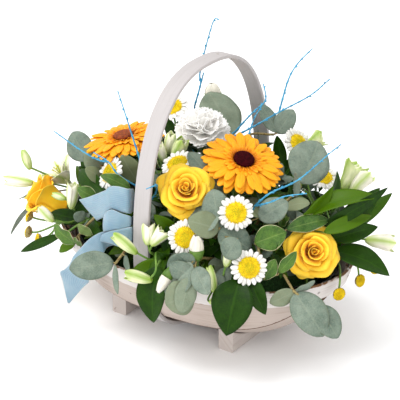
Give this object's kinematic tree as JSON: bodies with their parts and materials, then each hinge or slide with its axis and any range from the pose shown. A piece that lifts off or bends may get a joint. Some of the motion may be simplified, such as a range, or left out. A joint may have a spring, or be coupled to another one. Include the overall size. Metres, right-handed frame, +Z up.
{
  "type": "flower basket arrangement",
  "caption": "Trug basket with a hooped handle, filled with mixed cut flowers, foliage and painted twigs set in floral foam, with a ribbon bow.",
  "frame": {"origin": "middle of the whole arrangement, at the height of its feet", "axes": "+X along the trug, towards its right end, +Y across it towards the back, +Z up"},
  "size_m": [0.4166, 0.278, 0.2906],
  "materials": {
    "whitewashed_wood": "whitewashed bentwood and thin boards, matt, worn at the edges",
    "liner_film": "dark waterproof film",
    "floral_foam": "wet green foam, matt",
    "satin_ribbon": "pale blue ribbed satin",
    "pick_wire": "green lacquered florist wire",
    "gerbera_petal": "soft orange-yellow petals, satin",
    "gerbera_eye": "dark maroon disc florets, velvety",
    "rose_petal": "yellow rose petals, velvety",
    "carnation_petal": "white ruffled petals",
    "santini_petal": "small white rays and yellow discs",
    "button_head": "yellow button heads",
    "alstroemeria_petal": "cream and lime petals and stalks",
    "green_stem": "fresh green stem and sepals, satin",
    "eucalyptus_leaf": "grey-green leaf, dull bloom",
    "ruscus_leaf": "dark green glossy leaf",
    "pittosporum_leaf": "mid-green leaf with cream edge",
    "painted_twig": "birch twig painted blue, matt"
  },
  "bodies": {
    "root": {"alstroemeriaCentre": "alstroemeria_petal", "alstroemeriaFront": "alstroemeria_petal", "alstroemeriaLeft": "alstroemeria_petal", "alstroemeriaRight": "alstroemeria_petal", "battenLeft": "whitewashed_wood", "battenRight": "whitewashed_wood", "boardBackInner": "whitewashed_wood", "boardBackOuter": "whitewashed_wood", "boardFrontInner": "whitewashed_wood", "boardFrontOuter": "whitewashed_wood", "boardKeel": "whitewashed_wood", "buttonsLeft": "button_head", "buttonsRight": "button_head", "carnationBloom": "carnation_petal", "carnationBudFront": "carnation_petal", "carnationBudLow": "carnation_petal", "carnationBudTop": "carnation_petal", "carnationCalyx": "green_stem", "eucalyptusBack": "eucalyptus_leaf", "eucalyptusCentre": "eucalyptus_leaf", "eucalyptusFar": "eucalyptus_leaf", "eucalyptusLeft": "eucalyptus_leaf", "eucalyptusLowLeft": "eucalyptus_leaf", "eucalyptusRight": "eucalyptus_leaf", "eucalyptusTrailFront": "eucalyptus_leaf", "eucalyptusTrailRight": "eucalyptus_leaf", "foam": "floral_foam", "gerberaBackEye": "gerbera_eye", "gerberaBackPetals": "gerbera_petal", "gerberaBackStem": "green_stem", "gerberaFrontEye": "gerbera_eye", "gerberaFrontPetals": "gerbera_petal", "gerberaFrontStem": "green_stem", "handle": "whitewashed_wood", "liner": "liner_film", "pittosporumLeft": "pittosporum_leaf", "pittosporumRight": "pittosporum_leaf", "ribbonBow": "satin_ribbon", "ribbonPick": "pick_wire", "rim": "whitewashed_wood", "roseFrontBloom": "rose_petal", "roseFrontCalyx": "green_stem", "roseLeftBloom": "rose_petal", "roseLeftCalyx": "green_stem", "roseRightBloom": "rose_petal", "roseRightCalyx": "green_stem", "ruscusFar": "ruscus_leaf", "ruscusFrontLeft": "ruscus_leaf", "ruscusFrontRight": "ruscus_leaf", "ruscusLeft": "ruscus_leaf", "ruscusRight": "ruscus_leaf", "santiniFrontLeft": "santini_petal", "santiniFrontRight": "santini_petal", "santiniLeft": "santini_petal", "santiniMiddle": "santini_petal", "santiniRight": "santini_petal", "twigsBack": "painted_twig", "twigsFront": "painted_twig", "twigsLeft": "painted_twig", "twigsRight": "painted_twig"}
  },
  "joints": []
}
